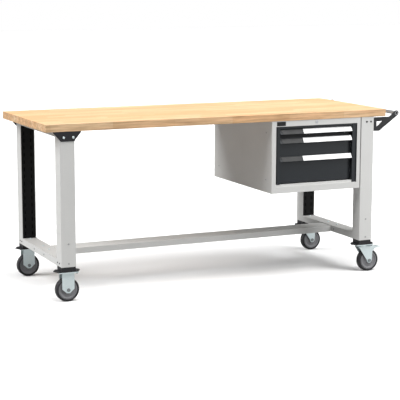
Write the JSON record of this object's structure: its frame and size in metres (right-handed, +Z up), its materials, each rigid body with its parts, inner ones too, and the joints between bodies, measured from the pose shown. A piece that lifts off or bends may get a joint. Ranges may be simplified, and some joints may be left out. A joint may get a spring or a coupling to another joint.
{
  "type": "mobile workbench",
  "caption": "Mobile workbench: wooden top on a folded-steel frame with lockable swivel casters, push handle, and an underslung cabinet of full-width drawers.",
  "frame": {"origin": "on the floor, under the middle of the overall box", "axes": "+X along the bench towards its push handle, +Y towards the back, +Z up"},
  "size_m": [2.091, 0.747, 0.925],
  "materials": {
    "beech_top": "satin",
    "light_grey_paint": "fine textured powder coat",
    "anthracite_paint": "fine textured powder coat",
    "black_paint": "satin powder coat",
    "tray_grey_paint": "satin powder coat",
    "slide_steel": "zinc plated",
    "zinc_plate": "bright zinc plated",
    "tyre_rubber": "matte",
    "wheel_core": "matte",
    "black_plastic": "fine grained",
    "label_white": "smooth blank strip",
    "handle_chrome": "satin chrome"
  },
  "bodies": {
    "bench_frame": {"blank_plate": "black_plastic", "cabinet_front_frame": "light_grey_paint", "cabinet_shell": "light_grey_paint", "cabinet_uprights": "anthracite_paint", "caster_adapters": "black_paint", "caster_bolts": "zinc_plate", "fixed_axles": "zinc_plate", "fork_front_left": "zinc_plate", "fork_rear_left": "zinc_plate", "frame_bolts": "zinc_plate", "leg_front_left": "light_grey_paint", "leg_front_right": "light_grey_paint", "leg_inserts_left": "black_paint", "leg_inserts_right": "black_paint", "leg_rear_left": "light_grey_paint", "leg_rear_right": "light_grey_paint", "lower_crossbar_left": "light_grey_paint", "lower_crossbar_right": "light_grey_paint", "push_handle_plates": "black_paint", "push_handle_tube": "handle_chrome", "slide_rails_fixed": "slide_steel", "stretcher": "light_grey_paint", "stretcher_brackets": "light_grey_paint", "swivel_plates": "zinc_plate", "top_gussets": "black_paint", "upper_crossbars": "light_grey_paint", "worktop": "beech_top"},
    "drawer_top": {"drawer_tray_top": "tray_grey_paint", "drawer_front_top": "anthracite_paint", "drawer_grip_top": "anthracite_paint", "drawer_label_top": "label_white"},
    "latch_top": {"drawer_latch_top": "black_plastic"},
    "middle_rails_top": {"slide_rails_middle_top": "slide_steel"},
    "drawer_middle": {"drawer_tray_middle": "tray_grey_paint", "drawer_front_middle": "anthracite_paint", "drawer_grip_middle": "anthracite_paint", "drawer_label_middle": "label_white"},
    "latch_middle": {"drawer_latch_middle": "black_plastic"},
    "middle_rails_middle": {"slide_rails_middle_middle": "slide_steel"},
    "drawer_bottom": {"drawer_tray_bottom": "tray_grey_paint", "drawer_front_bottom": "anthracite_paint", "drawer_grip_bottom": "anthracite_paint", "drawer_label_bottom": "label_white"},
    "latch_bottom": {"drawer_latch_bottom": "black_plastic"},
    "middle_rails_bottom": {"slide_rails_middle_bottom": "slide_steel"},
    "lock": {"lock_plug": "handle_chrome"},
    "wheel_front_left": {"tyre_front_left": "tyre_rubber", "wheel_core_front_left": "wheel_core"},
    "wheel_front_right": {"tyre_front_right": "tyre_rubber", "wheel_core_front_right": "wheel_core"},
    "swivel_front": {"swivel_fork_front_right": "zinc_plate", "swivel_axle_front_right": "zinc_plate"},
    "pedal_front": {"brake_pedal_front_right": "zinc_plate"},
    "wheel_rear_left": {"tyre_rear_left": "tyre_rubber", "wheel_core_rear_left": "wheel_core"},
    "wheel_rear_right": {"tyre_rear_right": "tyre_rubber", "wheel_core_rear_right": "wheel_core"},
    "swivel_rear": {"swivel_fork_rear_right": "zinc_plate", "swivel_axle_rear_right": "zinc_plate"},
    "pedal_rear": {"brake_pedal_rear_right": "zinc_plate"}
  },
  "joints": [
    {"name": "drawer_top_slide", "type": "slide", "parent": "bench_frame", "child": "drawer_top", "axis": [0, -1, 0], "range_m": [0, 0.6]},
    {"name": "middle_rails_top_slide", "type": "slide", "parent": "bench_frame", "child": "middle_rails_top", "axis": [0, -1, 0], "range_m": [0, 0.3]},
    {"name": "latch_top_slide", "type": "slide", "parent": "drawer_top", "child": "latch_top", "axis": [1, 0, 0], "range_m": [0, 0.006], "stiffness_N_per_m": 300},
    {"name": "drawer_middle_slide", "type": "slide", "parent": "bench_frame", "child": "drawer_middle", "axis": [0, -1, 0], "range_m": [0, 0.6]},
    {"name": "middle_rails_middle_slide", "type": "slide", "parent": "bench_frame", "child": "middle_rails_middle", "axis": [0, -1, 0], "range_m": [0, 0.3]},
    {"name": "latch_middle_slide", "type": "slide", "parent": "drawer_middle", "child": "latch_middle", "axis": [1, 0, 0], "range_m": [0, 0.006], "stiffness_N_per_m": 300},
    {"name": "drawer_bottom_slide", "type": "slide", "parent": "bench_frame", "child": "drawer_bottom", "axis": [0, -1, 0], "range_m": [0, 0.6]},
    {"name": "middle_rails_bottom_slide", "type": "slide", "parent": "bench_frame", "child": "middle_rails_bottom", "axis": [0, -1, 0], "range_m": [0, 0.3]},
    {"name": "latch_bottom_slide", "type": "slide", "parent": "drawer_bottom", "child": "latch_bottom", "axis": [1, 0, 0], "range_m": [0, 0.006], "stiffness_N_per_m": 300},
    {"name": "lock_turn", "type": "hinge", "parent": "bench_frame", "child": "lock", "pos_m": [0.5145, -0.367, 0.872], "axis": [0, 1, 0], "range_deg": [0, 90]},
    {"name": "wheel_front_left_spin", "type": "hinge", "parent": "bench_frame", "child": "wheel_front_left", "pos_m": [-0.9305, -0.331, 0.0625], "axis": [0, 1, 0], "continuous": true},
    {"name": "swivel_front_turn", "type": "hinge", "parent": "bench_frame", "child": "swivel_front", "pos_m": [0.8395, -0.331, 0.15], "axis": [0, 0, 1], "continuous": true},
    {"name": "wheel_front_right_spin", "type": "hinge", "parent": "swivel_front", "child": "wheel_front_right", "pos_m": [0.8765, -0.331, 0.0625], "axis": [0, 1, 0], "continuous": true},
    {"name": "pedal_front_press", "type": "hinge", "parent": "swivel_front", "child": "pedal_front", "pos_m": [0.8995, -0.331, 0.132], "axis": [0, 1, 0], "range_deg": [0, 9]},
    {"name": "wheel_rear_left_spin", "type": "hinge", "parent": "bench_frame", "child": "wheel_rear_left", "pos_m": [-0.9305, 0.331, 0.0625], "axis": [0, 1, 0], "continuous": true},
    {"name": "swivel_rear_turn", "type": "hinge", "parent": "bench_frame", "child": "swivel_rear", "pos_m": [0.8395, 0.331, 0.15], "axis": [0, 0, 1], "continuous": true},
    {"name": "wheel_rear_right_spin", "type": "hinge", "parent": "swivel_rear", "child": "wheel_rear_right", "pos_m": [0.8765, 0.331, 0.0625], "axis": [0, 1, 0], "continuous": true},
    {"name": "pedal_rear_press", "type": "hinge", "parent": "swivel_rear", "child": "pedal_rear", "pos_m": [0.8995, 0.331, 0.132], "axis": [0, 1, 0], "range_deg": [0, 9]}
  ],
  "couplings": [
    {"joint": "middle_rails_top_slide", "follows": "drawer_top_slide", "ratio": 0.5},
    {"joint": "middle_rails_middle_slide", "follows": "drawer_middle_slide", "ratio": 0.5},
    {"joint": "middle_rails_bottom_slide", "follows": "drawer_bottom_slide", "ratio": 0.5}
  ]
}
